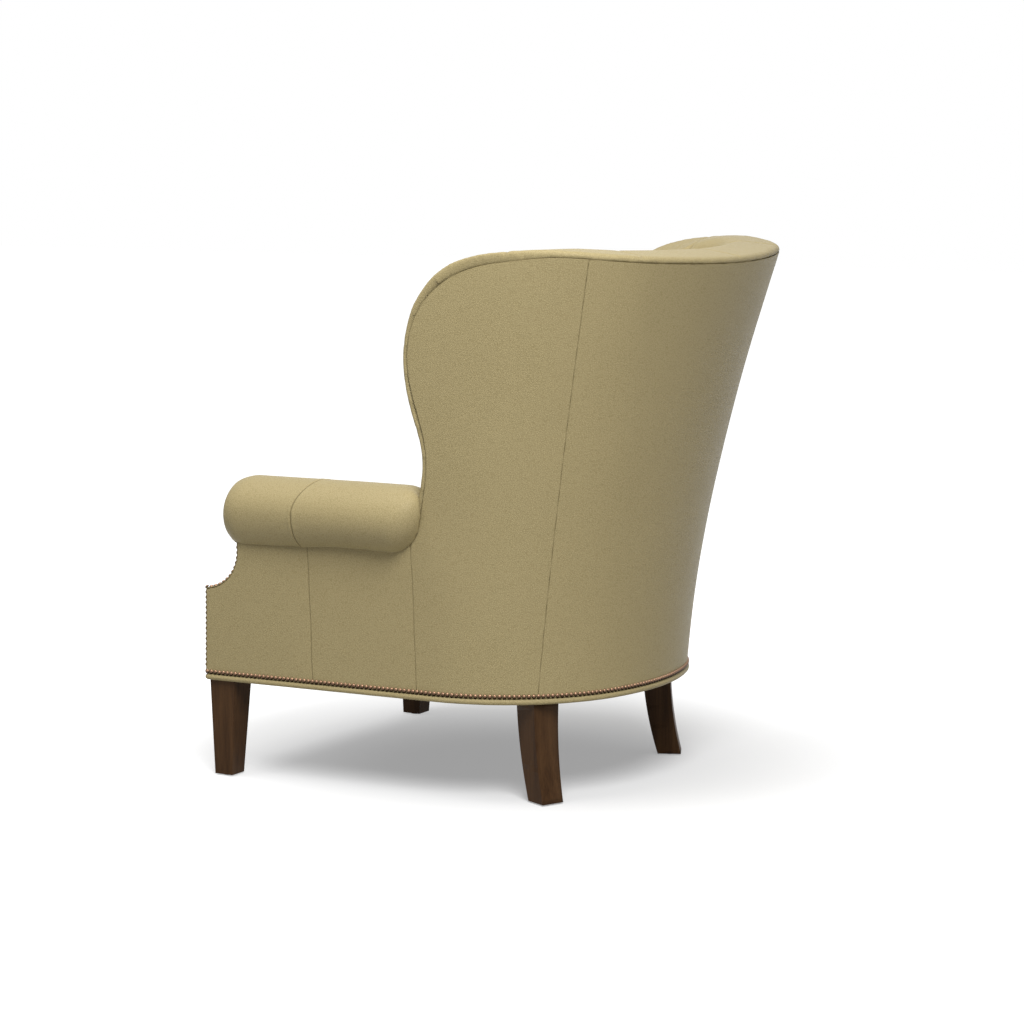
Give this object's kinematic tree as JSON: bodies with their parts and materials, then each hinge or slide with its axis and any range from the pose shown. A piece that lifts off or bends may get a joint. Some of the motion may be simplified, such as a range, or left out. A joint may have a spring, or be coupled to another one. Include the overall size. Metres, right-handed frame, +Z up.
{
  "type": "leather chair",
  "caption": "Barrel-backed leather wing chair with rolled arms, a buttoned inside back, a loose box seat cushion, nail-head trim and short dark wooden legs.",
  "frame": {"origin": "on the floor, under the centre of the chair's overall box", "axes": "+Z up, -Y the way the sitter faces, +X the sitter's left"},
  "size_m": [0.89, 1.007, 1.091],
  "materials": {
    "leather": "sage-khaki pebble-grain upholstery leather with a soft sheen",
    "leg_wood": "dark walnut stain under satin lacquer",
    "nail_metal": "antiqued dark bronze, slightly polished on the domes",
    "glide_plastic": "plain black",
    "spring_steel": "plain drawn steel",
    "wadding": "white polyester wadding and foam",
    "lining": "dark woven lining cloth",
    "frame_wood": "plain unfinished hardwood"
  },
  "bodies": {
    "chair_body": {"back_rail": "frame_wood", "back_webbing": "lining", "base_nail_trim": "nail_metal", "base_welt": "leather", "crest_rail": "frame_wood", "deck_pad": "lining", "dust_cover": "lining", "front_border": "leather", "front_border_wadding": "wadding", "front_nail_trim": "nail_metal", "front_rail": "frame_wood", "inside_back_pad": "leather", "left_arm_board": "frame_wood", "left_arm_front_panel": "leather", "left_arm_front_wadding": "wadding", "left_arm_nail_trim": "nail_metal", "left_arm_pad": "leather", "left_arm_post": "frame_wood", "left_back_post": "frame_wood", "left_front_leg": "leg_wood", "left_outside_arm_front_panel": "leather", "left_outside_arm_rear_panel": "leather", "left_outside_arm_wadding": "wadding", "left_outside_wing_panel": "leather", "left_outside_wing_wadding": "wadding", "left_rear_leg": "leg_wood", "left_side_rail": "frame_wood", "left_wing_board": "frame_wood", "leg_glides": "glide_plastic", "leg_hanger_bolts": "spring_steel", "leg_inserts": "spring_steel", "outside_back_panel": "leather", "outside_back_wadding": "wadding", "rear_leg_blocks": "frame_wood", "rear_seat_rail": "frame_wood", "right_arm_board": "frame_wood", "right_arm_front_panel": "leather", "right_arm_front_wadding": "wadding", "right_arm_nail_trim": "nail_metal", "right_arm_pad": "leather", "right_arm_post": "frame_wood", "right_back_post": "frame_wood", "right_front_leg": "leg_wood", "right_outside_arm_front_panel": "leather", "right_outside_arm_rear_panel": "leather", "right_outside_arm_wadding": "wadding", "right_outside_wing_panel": "leather", "right_outside_wing_wadding": "wadding", "right_rear_leg": "leg_wood", "right_side_rail": "frame_wood", "right_wing_board": "frame_wood", "seat_springs": "spring_steel", "spring_clips": "spring_steel", "spring_insulator": "lining", "tuft_buttons": "leather"},
    "seat_cushion": {"cushion_cover": "leather", "cushion_core": "wadding", "cushion_welts": "leather"}
  },
  "joints": [
    {"name": "seat_cushion_lift", "type": "slide", "parent": "chair_body", "child": "seat_cushion", "axis": [0, 0, 1], "range_m": [0, 0.25]}
  ]
}
